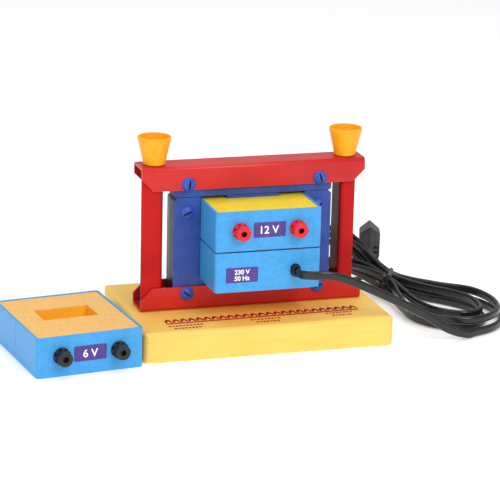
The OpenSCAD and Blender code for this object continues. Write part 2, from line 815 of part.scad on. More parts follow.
// Where the flex enters the plug from below, and the bend that leads it there
plug_x = [cos(plug_turn), sin(plug_turn), 0];
plug_y = [-sin(plug_turn), cos(plug_turn), 0];
entry = [plug_at[0], plug_at[1], 0] + plug_y * plug_entry;
tail_bend_points = [for (a = [0 : 30 : 90])
    entry + plug_x * tail_bend * (sin(a) - 1) + up * (flex_t / 2 + 0.4 + tail_bend * (1 - cos(a)))];
plug_foot = flex_t / 2 + 0.4 + tail_bend;
tail_points = concat(smooth_route(concat([hank_end], tail_route, [tail_bend_points[0]]), end_dir, plug_x),
    [for (i = [1 : 3]) tail_bend_points[i]]);
module cord_tail() {
    n = len(tail_points);
    last_wide = hank_wides[len(hank_wides) - 1];
    wides = [for (i = [0 : n - 1]) let (f = min(1, i / 6)) last_wide * (1 - f) - plug_y * f];
    flex(tail_points, wides, end_dir, up, 8);
}

// Band round the waist of the hank
module cord_tie() {
    tie_t = 1;
    tie_w = 2.8;
    gap = 1.4;
    half = hank_half(0, 0) + flex_t / 2 + gap;
    low = -flex_w / 2 - gap;
    high = hank_layer + flex_w / 2 + gap;
    b = hank_cross(0);
    u = hank_up(0);
    a = cross(b, u);
    m = hank_line(0, 1);
    color(rubber_black) multmatrix([
        [b[0], u[0], a[0], m[0]], [b[1], u[1], a[1], m[1]], [b[2], u[2], a[2], m[2]],
        [0, 0, 0, 1]])
        translate([0, (low + high) / 2, -tie_w / 2]) linear_extrude(tie_w) difference() {
            round_rect(2 * (half + tie_t), high - low + 2 * tie_t, 3.2);
            round_rect(2 * half, high - low, 2);
        }
}

module cord_bush() {
    color(rubber_black) on_core(mains_z) translate([exit_x, coil_front, exit_z])
        rotate([90, 0, 0]) {
            linear_extrude(1.2) bush_plan(bush_rim);
            translate([0, 0, 1.2]) linear_extrude(bush_len - 1.2) bush_plan(bush_rim - 0.8);
            translate([0, 0, -case_wall - 1]) linear_extrude(case_wall + 1) bush_plan(bush_rim - 1);
        }
}

// Plug standing on its lead, its ridge towards the front and its pins at the back
module plug_plan(w) {
    polygon([[0, 0], [w / 2, 5], [w / 2, plug_d], [-w / 2, plug_d], [-w / 2, 5]]);
}

module plug_body() {
    eaves = plug_h - 6.5;
    color(rubber_black) translate([plug_at[0], plug_at[1], plug_foot])
        rotate([0, 0, plug_turn]) difference() {
            intersection() {
                linear_extrude(plug_h) plug_plan(plug_w);
                translate([0, plug_d / 2, 0]) along_y(plug_d + 2) polygon([
                    [-plug_w / 2 + 3, 0], [plug_w / 2 - 3, 0], [plug_w / 2, 9],
                    [plug_w / 2, eaves], [0, plug_h], [-plug_w / 2, eaves], [-plug_w / 2, 9]]);
            }
            for (i = [0 : 2]) translate([plug_w / 2 + 1, 3, 8 + 3.8 * i]) rotate([0, 14, 0])
                cube([12, 7, 1.5], center = true);
        }
}

module plug_pins() {
    color(brass) translate([plug_at[0], plug_at[1], plug_foot]) rotate([0, 0, plug_turn])
        for (i = [0, 1])
            rod_y(0, 5 + pin_pitch * i, pin_r, plug_d, plug_d + pin_len);
}

// Least gap between the hank's runs, taken from each ring to every later run
function to_run(p, a, b) =
    let (ab = b - a, f = max(0, min(1, ((p - a) * ab) / (ab * ab))))
    p - (a + f * ab);
function run_gap(i, k) =
    let (d = to_run(hank_curve[i], hank_curve[k], hank_curve[k + 1]),
        u = hank_up(hank_place(hank_times[i])))
    max(norm(d - (d * u) * u) - flex_t, abs(d * u) - flex_w);
hank_gap = min([for (i = [0 : hank_last - 9]) min([for (k = [i + 8 : hank_last - 1]) run_gap(i, k)])]);
echo(least_gap_in_hank = hank_gap, hank_from = hank_first, hank_to = hank_end, end_dir = end_dir);
function path_length(p) = [for (i = [1 : len(p) - 1]) norm(p[i] - p[i - 1])] * [for (i = [1 : len(p) - 1]) 1];
echo(lead_length = path_length(hank_points) + path_length(free_points) + path_length(tail_points));

base_board();
bottom_channel();
post_left();
post_right();
post_nuts();
base_screws();
e_core();
core_bolts();
core_nuts();
mains_case_front();
mains_case_back();
mains_bobbin();
mains_winding();
mains_top_plate();
mains_label();
cord_bush();
cord_free();
cord_hank();
cord_tail();
cord_tie();
plug_body();
plug_pins();
top_channel();
top_yoke();
yoke_pad();
yoke_bolts();
yoke_nuts();
stud_left();
stud_right();
knob_left();
knob_right();
case_front_12v();
case_back_12v();
bobbin_12v();
winding_12v();
top_plate_12v();
label_12v();
stems_12v();
collars_12v();
insert_12v_left();
insert_12v_right();
head_12v_left();
head_12v_right();
case_front_6v();
case_back_6v();
bobbin_6v();
winding_6v();
top_plate_6v();
label_6v();
stems_6v();
collars_6v();
insert_6v_left();
insert_6v_right();
head_6v_left();
head_6v_right();
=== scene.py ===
# %% [markdown]
# # A dissectible demonstration transformer
#
# This lesson dresses a measured model of a school transformer. The hard parts, such as the channel
# frame, the core and the coils, come from the CAD frame at their true sizes. Blender adds what CAD
# can't: the flat mains lead in its hank, the marks on the plates, softened edges and the finishes.

# %% Load the measured frame
import math

import bmesh
import bpy
from mathutils import Matrix, Vector


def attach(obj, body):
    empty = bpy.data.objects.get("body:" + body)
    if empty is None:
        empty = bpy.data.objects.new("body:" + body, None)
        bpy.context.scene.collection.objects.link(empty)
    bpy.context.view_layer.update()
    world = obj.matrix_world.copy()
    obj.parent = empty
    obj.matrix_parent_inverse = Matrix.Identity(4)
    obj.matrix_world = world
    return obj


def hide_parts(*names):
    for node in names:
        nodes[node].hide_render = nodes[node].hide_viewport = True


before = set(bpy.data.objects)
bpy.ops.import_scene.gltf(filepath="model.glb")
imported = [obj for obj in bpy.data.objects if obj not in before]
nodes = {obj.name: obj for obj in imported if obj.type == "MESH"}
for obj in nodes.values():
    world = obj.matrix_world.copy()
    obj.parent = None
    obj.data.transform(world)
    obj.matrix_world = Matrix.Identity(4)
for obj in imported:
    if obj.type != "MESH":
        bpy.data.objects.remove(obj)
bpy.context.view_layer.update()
MM = 0.001

# %% [markdown]
# ## The camera
# The picture was taken from the front left, well back, with a long lens, so upright edges stay
# almost parallel. A look-at camera would do for a new picture, but here the place, the turn and the
# slight roll are all known, so the camera's axes are written straight into its matrix.

# %% Camera
YAW, PITCH, ROLL = (math.radians(a) for a in (-17.48, -16.398, 1.463))
CAMERA_AT = (-0.458592, -1.461297, 0.508695)
FOCAL_PX, PICTURE_PX, SENSOR_MM = 2271.2, 500, 36
forward = Vector((-math.sin(YAW) * math.cos(PITCH), math.cos(YAW) * math.cos(PITCH),
                  math.sin(PITCH)))
level = Vector((math.cos(YAW), math.sin(YAW), 0))
right = level * math.cos(ROLL) + level.cross(forward) * math.sin(ROLL)
camera = bpy.data.objects.new("camera", bpy.data.cameras.new("camera"))
bpy.context.scene.collection.objects.link(camera)
camera.matrix_world = (Matrix.Translation(CAMERA_AT)
                       @ Matrix((right, right.cross(forward), -forward)).transposed().to_4x4())
camera.data.sensor_width = SENSOR_MM
camera.data.lens = SENSOR_MM * FOCAL_PX / PICTURE_PX
camera.data.clip_end = 30
bpy.context.scene.camera = camera
print("lens", round(camera.data.lens, 1), "mm")

# %% [markdown]
# ## Helpers for new pieces
# A new piece starts as a bmesh, is shaped by operators, and becomes an object that rides on one of
# the bodies. Its place stays in its mesh, so the object itself sits at the origin.

# %% From a bmesh to an object
def finish_mesh(bm, name, body, smooth=True):
    """Makes an object of a bmesh given in millimetres, and lets it ride on a body."""
    bmesh.ops.scale(bm, vec=(MM, MM, MM), verts=bm.verts)
    mesh = bpy.data.meshes.new(name)
    bm.to_mesh(mesh)
    bm.free()
    mesh.polygons.foreach_set("use_smooth", [smooth] * len(mesh.polygons))
    piece = bpy.data.objects.new(name, mesh)
    bpy.context.scene.collection.objects.link(piece)
    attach(piece, body)
    print(name, len(mesh.polygons), "faces on", body)
    return piece


# %% [markdown]
# ## The route of the lead
# The real lead is a flat two-core flex about 1.7 m long, folded into a hank, with a tie at its
# waist. The left end of the hank leans on the back of the board, the right end lies on the table.
# Its turns spiral in, climb one layer and spiral out again, so that one unbroken flex fills both
# layers. The route repeats the points of the CAD source, apart from the left folds, which are
# opened here because the source's innermost one is too tight. It is still tight for such a flex.

# %% Middle line of the hank
FLEX_W, FLEX_T = 6.0, 3.6
STATIONS = [
    (-1.3, (33, 43, 41), (0, 0.6, 0.8)), (-0.5, (76, 45, 39), (0, 0.6, 0.8)),
    (-0.25, (101, 53, 30), (0.1, 0.65, 0.75)), (0, (121, 50, 8), (0.42, 0.88, -0.15)),
    (0.4, (138, 16, 3.4), (0.84, 0.54, 0)), (1.3, (184, -82, 3.4), (0.84, 0.54, 0))]
TURNS, START, STEPS = 3.4, -15, 24
HALF_WAY = TURNS / 2
LOBE_RIGHT, LOBE_LEFT = (21, 17), (9.5, 6.2)  # half width of the inmost turn, and more per turn
RUN_GAP, LAYER_GAP, BEND_R = 1.15, 1.2, 12


def station(s, column):
    """Place or crosswise direction between the two nearest stations."""
    for (s0, *low), (s1, *high) in zip(STATIONS, STATIONS[1:]):
        if s <= s1:
            break
    f = (s - s0) / (s1 - s0)
    return Vector(low[column]).lerp(Vector(high[column]), f)


def along(s, column):
    return (station(s - 0.12, column) + 2 * station(s, column) + station(s + 0.12, column)) / 4


def upward(s):
    """Direction of the flex's width, square to the hank's line and its crosswise direction."""
    return (along(s + 0.03, 0) - along(s - 0.03, 0)).cross(along(s, 1).normalized()).normalized()


# %% Turns of the hank
def squared(value):
    return math.copysign(abs(value) ** 0.78, value)


def turn(t):
    """Point of the hank after t turns, and the direction of the flex's width there."""
    angle, lane = math.radians(START + 360 * t), abs(HALF_WAY - t)
    s = (0.82 + 0.1 * lane) * squared(math.cos(angle))
    inmost, per_turn = LOBE_RIGHT if s > 0 else LOBE_LEFT
    lobe = inmost + per_turn * lane
    waist = FLEX_T / 2 + 0.6 + (FLEX_T + RUN_GAP) * lane
    half = waist + (lobe - waist) * min(1, abs(s) / 0.62) ** 1.3
    x = min(1, max(0, (t - HALF_WAY) / 0.3 + 0.54))
    climb = (FLEX_W + LAYER_GAP) * x * x * (3 - 2 * x)
    across = along(s, 1).normalized()
    return along(s, 0) + across * half * squared(math.sin(angle)) + upward(s) * climb, upward(s)


hank = [turn(i / STEPS) for i in range(int(TURNS * STEPS) + 1)]
first_way = (hank[1][0] - hank[0][0]).normalized()
last_way = (hank[-1][0] - hank[-2][0]).normalized()
print("hank of", len(hank), "points")

# %% Free stretch and tail
EXIT = Vector((19.4, -52.5, 56.26))
FREE = [(20.5, -59.5, 56.2), (27, -65.5, 57), (38, -68, 57), (52, -68, 52.5), (68, -67.5, 45),
        (84, -67, 37), (100, -65.5, 28.5), (115, -63.5, 19.5), (130, -61.5, 9.5)]
TAIL = [(56, 51, 55), (44, 62, 44), (43, 74, 27), (50, 84, 10), (64, 91, 2.8), (82, 92.5, 2.4)]
PLUG_TURN = math.radians(-17.5)
plug_x = Vector((math.cos(PLUG_TURN), math.sin(PLUG_TURN), 0))
plug_y = Vector((-math.sin(PLUG_TURN), math.cos(PLUG_TURN), 0))
entry = Vector((118.5, 72, 0)) + plug_y * BEND_R
bend = [entry + plug_x * BEND_R * (math.sin(a) - 1)
        + Vector((0, 0, 2.2 + BEND_R * (1 - math.cos(a))))
        for a in (math.radians(d) for d in (0, 30, 60, 90))]
up = Vector((0, 0, 1))
route = [(EXIT, up)] + [(Vector(p), up) for p in FREE]
route += [(hank[0][0] - first_way * FLEX_W, hank[0][1])] + hank
route += [(hank[-1][0] + last_way * FLEX_W, hank[-1][1])]
tail = [Vector(p) for p in TAIL] + bend
route += [(p, hank[-1][1].lerp(-plug_y, min(1, (i + 1) / 4))) for i, p in enumerate(tail)]
print("route of", len(route), "points")


# %% Smooth it
def smooth_route(points, steps):
    """Centripetal spline through the points, with steps pieces between two of them."""
    places = [p for p, _ in points]
    places = ([2 * places[0] - places[1]] + places + [2 * places[-1] - places[-2]])
    out = []
    for i in range(1, len(places) - 2):
        a, b, c, d = places[i - 1:i + 3]
        t0, t1 = 0, (b - a).length ** 0.5
        t2 = t1 + (c - b).length ** 0.5
        t3 = t2 + (d - c).length ** 0.5
        for k in range(steps):
            t = t1 + (t2 - t1) * k / steps
            ab = a.lerp(b, (t - t0) / (t1 - t0))
            bc = b.lerp(c, (t - t1) / (t2 - t1))
            cd = c.lerp(d, (t - t2) / (t3 - t2))
            abc = ab.lerp(bc, (t - t0) / (t2 - t0))
            bcd = bc.lerp(cd, (t - t1) / (t3 - t1))
            wide = points[i - 1][1].lerp(points[i][1], k / steps)
            out.append((abc.lerp(bcd, (t - t1) / (t2 - t1)), wide.normalized()))
    return out + [points[-1]]


fine = smooth_route(route, 4)
flex_length = sum((b[0] - a[0]).length for a, b in zip(fine, fine[1:])) * MM
print("flex of", round(flex_length, 3), "m")

# %% [markdown]
# ## The flex
# A curve with a round bevel would give a round cable, but this one is flat, with a shallow groove
# between its two cores. So a flattened ring is extruded step by step along the route, and each new
# ring is set square to the line with its width along the stored direction.

# %% Extrude the flat flex
def ring_matrix(i):
    """Turns the flat ring in the XY plane square to the route at point i."""
    place, wide = fine[i]
    ahead = (fine[min(i + 1, len(fine) - 1)][0] - fine[max(i - 1, 0)][0]).normalized()
    wide = (wide - ahead * wide.dot(ahead)).normalized()
    turned = Matrix((ahead.cross(wide), wide, ahead)).transposed().to_4x4()
    return Matrix.Translation(place) @ turned


GROOVE = 0.35
bm = bmesh.new()
bmesh.ops.create_circle(bm, segments=20, radius=1)
for v in bm.verts:
    a = math.atan2(v.co.y, v.co.x)
    groove = GROOVE * max(0, 1 - abs(math.sin(a)) / 0.34)
    v.co = Vector(((squared(math.cos(a)) * FLEX_T / 2 - math.copysign(groove, math.cos(a))),
                   math.copysign(abs(math.sin(a)) ** 0.9, math.sin(a)) * FLEX_W / 2, 0))
bmesh.ops.transform(bm, matrix=ring_matrix(0), verts=bm.verts)
edges = list(bm.edges)
for i in range(1, len(fine)):
    new = bmesh.ops.extrude_edge_only(bm, edges=edges)["geom"]
    verts = [g for g in new if isinstance(g, bmesh.types.BMVert)]
    edges = [g for g in new if isinstance(g, bmesh.types.BMEdge)]
    bmesh.ops.transform(bm, matrix=ring_matrix(i) @ ring_matrix(i - 1).inverted(), verts=verts)
bmesh.ops.holes_fill(bm, edges=[e for e in bm.edges if e.is_boundary], sides=0)
bmesh.ops.recalc_face_normals(bm, faces=bm.faces)
flex = finish_mesh(bm, "flat_flex", "base_frame")
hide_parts("cord_free", "cord_hank", "cord_tail")

# %% [markdown]
# ## The tie
# The hank is held at its waist by a soft black band that is pulled tight. A taut band takes the
# shape of the convex hull of what it goes round, so that is how it is made: the corners of every
# run at the waist go into a bmesh, convex_hull wraps them, the two flat ends are taken off, and a
# Solidify modifier gives what is left its thickness.

# %% Wrap the band round the runs
TIE_HALF, TIE_T, WAIST_REACH = 1.3, 1.0, 40
across, wide = along(0, 1).normalized(), upward(0)
lengthwise = across.cross(wide)
waist_at = along(0, 0)
bm = bmesh.new()
runs = 0
for (p, _), (q, _) in zip(hank, hank[1:]):
    d0, d1 = (p - waist_at).dot(lengthwise), (q - waist_at).dot(lengthwise)
    if d0 * d1 <= 0 and (p - waist_at).length < WAIST_REACH:
        crossing = p.lerp(q, d0 / (d0 - d1))
        runs += 1
        for i, j, k in ((i, j, k) for i in (-1, 1) for j in (-1, 1) for k in (-1, 1)):
            for thicker, wider in ((0.3, -0.3), (-0.5, 0.3)):
                bm.verts.new(crossing + across * i * (FLEX_T / 2 + thicker)
                             + wide * j * (FLEX_W / 2 + wider) + lengthwise * k * TIE_HALF)
hull = bmesh.ops.convex_hull(bm, input=bm.verts)
loose = {g for key in ("geom_interior", "geom_unused") for g in hull[key]}
bmesh.ops.delete(bm, geom=[v for v in bm.verts if v in loose or not v.link_faces], context="VERTS")
ends = [f for f in bm.faces if abs(f.normal.dot(lengthwise)) > 0.9]
bmesh.ops.delete(bm, geom=ends, context="FACES")
bmesh.ops.dissolve_limit(bm, angle_limit=math.radians(2), verts=bm.verts, edges=bm.edges)
bmesh.ops.recalc_face_normals(bm, faces=bm.faces)
tie = finish_mesh(bm, "waist_tie", "base_frame")
thick = tie.modifiers.new("thickness", "SOLIDIFY")
thick.thickness = TIE_T * MM
thick.offset = 1
round_off = tie.modifiers.new("round", "BEVEL")
round_off.width = 0.4 * MM
round_off.segments = 3
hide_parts("cord_tie")
print("tie round", runs, "runs")
[tuple(p * MM) for p, _ in fine]

# %% [markdown]
# ## Softened edges
# Sheet steel, moulded plastic and cast paint never end in a perfect corner: the tiny round along an
# edge catches the light. The CAD solids have sharp ones. Their meshes stay as they are, and a stack
# of modifiers welds the loose triangles, joins the flat ones and bevels what is left.

# %% Bevel the CAD parts
def soften(name, width, segments=2, angle=32):
    part = nodes[name]
    weld = part.modifiers.new("weld", "WELD")
    weld.merge_threshold = 0.000005
    flat = part.modifiers.new("flatten", "DECIMATE")
    flat.decimate_type = "DISSOLVE"
    flat.angle_limit = math.radians(0.5)
    bevel = part.modifiers.new("bevel", "BEVEL")
    bevel.width = width * MM
    bevel.segments = segments
    bevel.limit_method = "ANGLE"
    bevel.angle_limit = math.radians(angle)
    bevel.harden_normals = True
    bevel.miter_outer = "MITER_ARC"


SOFT_EDGES = {
    0.35: ["bottom_channel", "top_channel", "post_left", "post_right"],
    0.25: ["e_core", "top_yoke", "plug_body"]
          + [n for n in nodes if n.startswith(("case_", "mains_case_"))],
    0.15: ["yoke_pad", "cord_bush"] + [n for n in nodes if n.startswith(("collars_", "label_"))]
          + ["mains_label"],
}
for width, names in SOFT_EDGES.items():
    for name in names:
        soften(name, width)
for name in [n for n in nodes if n.startswith("head_")]:
    soften(name, 0.45, 3, 40)
for name in ("core_bolts", "yoke_bolts", "base_screws"):
    soften(name, 0.12)
print("softened", sum(len(names) for names in SOFT_EDGES.values()) + 7, "parts")

# %% [markdown]
# ## Figures on the plates
# Each coil has a small purple plate with its voltage in white. A font curve gives the figures. It
# is turned into a mesh first, and then laid on its plate with its place in the vertices.

# %% Where the plates are
LOOSE = math.radians(7)
loose_coil = (Matrix.Translation((-91.5, -62.7, 0)) @ Matrix.Rotation(LOOSE, 4, "Z")
              @ Matrix.Translation((-37.7, 44, 0)))
PLATES = {
    "figures_12v": ("12 V", 5.6, Matrix.Translation((0.4, -47.9, 86.26)), "coil_12v"),
    "figures_6v": ("6 V", 5.6, loose_coil @ Matrix.Translation((0, -44.4, 14.4)), "coil_6v"),
    "figures_mains": ("230 V\n50 Hz", 3.3, Matrix.Translation((-18.6, -47.9, 55.06)),
                      "base_frame"),
}


def figures(name, words, height, place, body):
    curve = bpy.data.curves.new(name, "FONT")
    curve.body = words
    curve.size = height * 1.35
    curve.align_x = "CENTER"
    curve.align_y = "CENTER"
    curve.offset = 0.12
    curve.extrude = 0.05
    curve.space_line = 1.0
    maker = bpy.data.objects.new(name, curve)
    bm = bmesh.new()
    bm.from_mesh(maker.to_mesh())
    bpy.data.objects.remove(maker)
    bmesh.ops.remove_doubles(bm, verts=bm.verts, dist=0.0001)
    lows = [min(v.co[k] for v in bm.verts) for k in (0, 1)]
    highs = [max(v.co[k] for v in bm.verts) for k in (0, 1)]
    centre = Matrix.Translation((-(lows[0] + highs[0]) / 2, -(lows[1] + highs[1]) / 2, 0))
    upright = Matrix.Rotation(math.pi / 2, 4, "X")
    bmesh.ops.transform(bm, matrix=place @ upright @ centre, verts=bm.verts)
    return finish_mesh(bm, name, body, smooth=False)


white_figures = [figures(name, *facts) for name, facts in PLATES.items()]

# %% [markdown]
# ## Print on the board
# The front of the board carries a red print. Here it is a plain winding diagram: a long row of
# loops over a bar, which is how a coil on a core is drawn, and three pairs of tick rows under it.
# A loop is an edge spun through half a turn and then stretched, because the print is seen at a low
# angle. Solidify gives the ink its thickness.

# %% Winding diagram
SLANT = Matrix.Rotation(math.radians(1.2), 4, "Z")
LOOPS, LOOP_PITCH, TICK_PITCH, ROW_PITCH = 25, 5.62, 2.5, 5.4
BOARD_TOP = 21.06


def stroke(bm, x, y, width, depth):
    """Flat bar round the point (x, y)."""
    square = bmesh.ops.create_grid(bm, x_segments=1, y_segments=1, size=0.5)["verts"]
    place = Matrix.Translation((x, y, 0)) @ Matrix.Diagonal((width, depth, 1, 1))
    bmesh.ops.transform(bm, matrix=place, verts=square)


def loop(bm, x, y, radius, width, stretch):
    """Half ring, open towards -Y."""
    before = set(bm.verts)
    a = bm.verts.new((x + radius - width / 2, y, 0))
    b = bm.verts.new((x + radius + width / 2, y, 0))
    bmesh.ops.spin(bm, geom=[a, b, bm.edges.new((a, b))], cent=(x, y, 0), axis=(0, 0, 1),
                   angle=math.pi, steps=12)
    verts = [v for v in bm.verts if v not in before]
    bmesh.ops.scale(bm, vec=(1, stretch, 1), space=Matrix.Translation((0, -y, 0)), verts=verts)


bm = bmesh.new()
for i in range(LOOPS):
    loop(bm, -67.6 + LOOP_PITCH * i, -36.4, 1.95, 1.5, 2.6)
stroke(bm, -0.2, -38.4, 140, 2.2)
for x, y, ticks in ((-58, -44, 10), (-0.5, -43.6, 9), (54, -42.4, 8)):
    for row in (0, 1):
        for k in range(ticks - 2 * row):
            shift = (k - (ticks - 2 * row - 1) / 2) * TICK_PITCH
            stroke(bm, x + shift, y - ROW_PITCH * row, 1.7, 2.6 - 0.7 * (k % 3 == 1))
bmesh.ops.transform(bm, matrix=Matrix.Translation((0, 0, BOARD_TOP)) @ SLANT, verts=bm.verts)
bmesh.ops.recalc_face_normals(bm, faces=bm.faces)
bmesh.ops.solidify(bm, geom=bm.faces, thickness=0.05)
red_print = finish_mesh(bm, "board_print", "base_frame", smooth=False)

# %% [markdown]
# ## Shader maths in Python
# Node trees get long, so a small class wraps an output socket. An expression on two wrapped sockets
# adds the Math node for it. Every other node comes from one method, which takes a node's type, its
# settings and the values or links of its inputs.

# %% Wrapped sockets
class Value:
    """Output socket of a number, in an expression."""

    def __init__(self, finish, socket):
        self.finish, self.socket = finish, socket

    def math(self, operation, *others):
        inputs = {i: o for i, o in enumerate((self,) + others)}
        return self.finish.add("ShaderNodeMath", {"operation": operation}, inputs)

    def __add__(self, other): return self.math("ADD", other)
    def __mul__(self, other): return self.math("MULTIPLY", other)
    def __sub__(self, other): return self.math("SUBTRACT", other)
    def __rsub__(self, other): return (self * -1) + other
    __radd__, __rmul__ = __add__, __mul__

    def clamp(self, low, high):
        """0 below low, 1 above high, and a smooth rise between them."""
        return self.finish.add("ShaderNodeMapRange", {"interpolation_type": "SMOOTHSTEP"},
                               {"Value": self, "From Min": low, "From Max": high})


# %% A finish and its nodes
class Finish:
    """One material, whose surface is a Principled shader."""

    def __init__(self, name):
        self.material = bpy.data.materials.new(name)
        self.material.use_nodes = True
        self.tree = self.material.node_tree
        self.shader = self.tree.nodes["Principled BSDF"]

    def add(self, kind, settings=None, inputs=None, output=0):
        node = self.tree.nodes.new(kind)
        for key, value in (settings or {}).items():
            if key == "stops":
                ramp = node.color_ramp
                while len(ramp.elements) < len(value):
                    ramp.elements.new(1)
                for element, (place, colour) in zip(ramp.elements, value):
                    element.position, element.color = place, (*colour, 1)
            else:
                setattr(node, key, value)
        for key, value in (inputs or {}).items():
            self.put(node.inputs[key], value)
        return Value(self, node.outputs[output])

    def put(self, socket, value):
        if isinstance(value, Value):
            self.tree.links.new(value.socket, socket)
        elif isinstance(value, tuple) and len(value) == 3 and len(socket.default_value) == 4:
            socket.default_value = (*value, 1)
        else:
            socket.default_value = value

    def surface(self, **inputs):
        for key, value in inputs.items():
            self.put(self.shader.inputs[key.replace("_", " ")], value)
        return self.material

    # Patterns that most finishes share
    def place(self, scale=(1, 1, 1)):
        """Object coordinates in millimetres, stretched by scale."""
        raw = self.add("ShaderNodeTexCoord", output="Object")
        return self.add("ShaderNodeVectorMath", {"operation": "MULTIPLY"},
                        {0: raw, 1: tuple(1000 * s for s in scale)})

    def noise(self, size, detail=3, rough=0.5, scale=(1, 1, 1)):
        """Cloudy pattern whose blotches are about size millimetres across."""
        return self.add("ShaderNodeTexNoise", {}, {"Vector": self.place(scale), "Scale": 1 / size,
                                                   "Detail": detail, "Roughness": rough})

    def axis(self, name):
        """One of the object's coordinates in millimetres."""
        return self.add("ShaderNodeSeparateXYZ", {}, {0: self.place()}, output=name)

    def mix(self, factor, low, high):
        node = self.tree.nodes.new("ShaderNodeMix")
        node.data_type = "RGBA"
        self.put(node.inputs[0], factor)
        self.put(node.inputs[6], low)
        self.put(node.inputs[7], high)
        return Value(self, node.outputs[2])

    def edges(self, radius):
        """1 along edges, 0 on flats, from how far a rounded normal turns off the true one."""
        rounded = self.add("ShaderNodeBevel", {"samples": 6}, {"Radius": radius * MM})
        true = self.add("ShaderNodeNewGeometry", output="Normal")
        cosine = self.add("ShaderNodeVectorMath", {"operation": "DOT_PRODUCT"},
                          {0: rounded, 1: true}, "Value")
        return (1 - cosine).clamp(0.02, 0.2)

    def shade_in_hollows(self, reach):
        """Mask for painted shade: 1 deep in a slot, about a half in a corner, 0 in the open."""
        sky = self.add("ShaderNodeAmbientOcclusion", {"samples": 6, "only_local": True},
                       {"Distance": reach * MM}, "AO")
        return 1 - sky

    def bump(self, height, strength, distance=0.1):
        """Normal from a height, whose full swing is distance millimetres."""
        return self.add("ShaderNodeBump", {}, {"Height": height, "Strength": strength,
                                               "Distance": distance * MM})


def rgb(*values):
    """Screen colour, 0 to 255, as the linear one that the shader takes."""
    return tuple(v / 255 / 12.92 if v <= 10 else ((v / 255 + 0.055) / 1.055) ** 2.4
                 for v in values)


finishes = {}
print("shader helpers ready")


# %% [markdown]
# ## Painted board
# The board is wood under thick cream paint. Paint hides the grain but not all of it: long faint
# ridges stay, the colour drifts a little, and the lower edges are rubbed.

# %% Board
def board():
    f = Finish("cream_board")
    drift = f.noise(55, 2)
    grain = f.noise(1.6, 4, 0.6, (0.05, 1, 1))
    specks = f.noise(0.7, 2).clamp(0.70, 0.76)
    height = f.axis("Z")
    foot = (f.noise(2.2, 3) * 3 - height).clamp(0.9, 1.3)
    streaks = f.noise(5, 4, 0.6, (0.06, 1, 1))
    colour = f.mix(drift.clamp(0.3, 0.7), rgb(248, 200, 96), rgb(252, 208, 104))
    colour = f.mix(streaks.clamp(0.5, 0.75) * 0.4, colour, rgb(238, 182, 84))
    colour = f.mix(specks * 0.35, colour, rgb(198, 150, 70))
    colour = f.mix(f.edges(0.9) * 0.4, colour, rgb(255, 232, 150))
    colour = f.mix(foot * 0.7, colour, rgb(250, 228, 170))
    return f.surface(Base_Color=colour, Roughness=0.42 + drift * 0.14, IOR=1.42,
                     Normal=f.bump(grain + drift * 0.6 + streaks, 0.5, 0.09))


finishes["base_board"] = board()


# %% [markdown]
# ## Enamelled steel
# The channels and posts are bent sheet with brushed enamel: glossy, slightly wavy and nicked
# along its edges, with painted shade darkening its corners. The Bevel node finds edges: it gives
# the normal of a rounded surface, and where that differs from the true one, there is an edge. The
# Ambient Occlusion node finds the corners for that painted shade. The posts got a thinner, duller
# coat than the channels and a slightly darker red, which is painted shade. The sides of their inner
# legs, which face along X, get more painted shade by the way they face.

# %% Enamel
def enamel(name, light, dark, nick, rough=0.26, wave=0.06, gloss=0.5, shade=0.0):
    f = Finish(name)
    drift = f.noise(38, 3)
    peel = f.noise(1.5, 2)
    rubs = f.noise(7, 5, 0.7, (1, 1, 0.35)).clamp(0.64, 0.72)
    nicks = f.edges(0.7) * f.noise(1.8, 4, 0.75).clamp(0.5, 0.58)
    colour = f.mix(drift.clamp(0.32, 0.68), dark, light)
    colour = f.mix(rubs * 0.25, colour, tuple(c * 0.55 for c in dark))
    # Painted shade: the corners that the Ambient Occlusion node finds are darkened.
    colour = f.mix(f.shade_in_hollows(9).clamp(0.05, 0.6) * 0.85, colour, tuple(c * 0.3 for c in dark))
    # Painted shade: faces that point along X, the sides of the posts' inner legs, are darkened.
    if shade:
        normal = f.add("ShaderNodeNewGeometry", output="Normal")
        side_shade = f.add("ShaderNodeSeparateXYZ", {}, {0: normal}, "X").math("ABSOLUTE")
        colour = f.mix(side_shade.clamp(0.75, 0.95) * shade, colour, tuple(c * 0.3 for c in dark))
    colour = f.mix(nicks * 0.55, colour, nick)
    return f.surface(Base_Color=colour, Roughness=rough + peel * 0.12 + rubs * 0.15, IOR=1.42,
                     Specular_IOR_Level=gloss,
                     Normal=f.bump(peel + drift * 1.5 - nicks * 0.5, 0.5, wave))


red_enamel = enamel("red_enamel", rgb(205, 32, 27), rgb(186, 22, 24), rgb(250, 160, 150))
# The posts' red is a little darker than the channels', as painted shade.
post_enamel = enamel("post_enamel", rgb(196, 30, 28), rgb(174, 20, 24), rgb(250, 160, 150),
                     rough=0.36, gloss=0.15, shade=0.85)
for name, finish in (("bottom_channel", red_enamel), ("top_channel", red_enamel),
                     ("post_left", post_enamel), ("post_right", post_enamel)):
    finishes[name] = finish
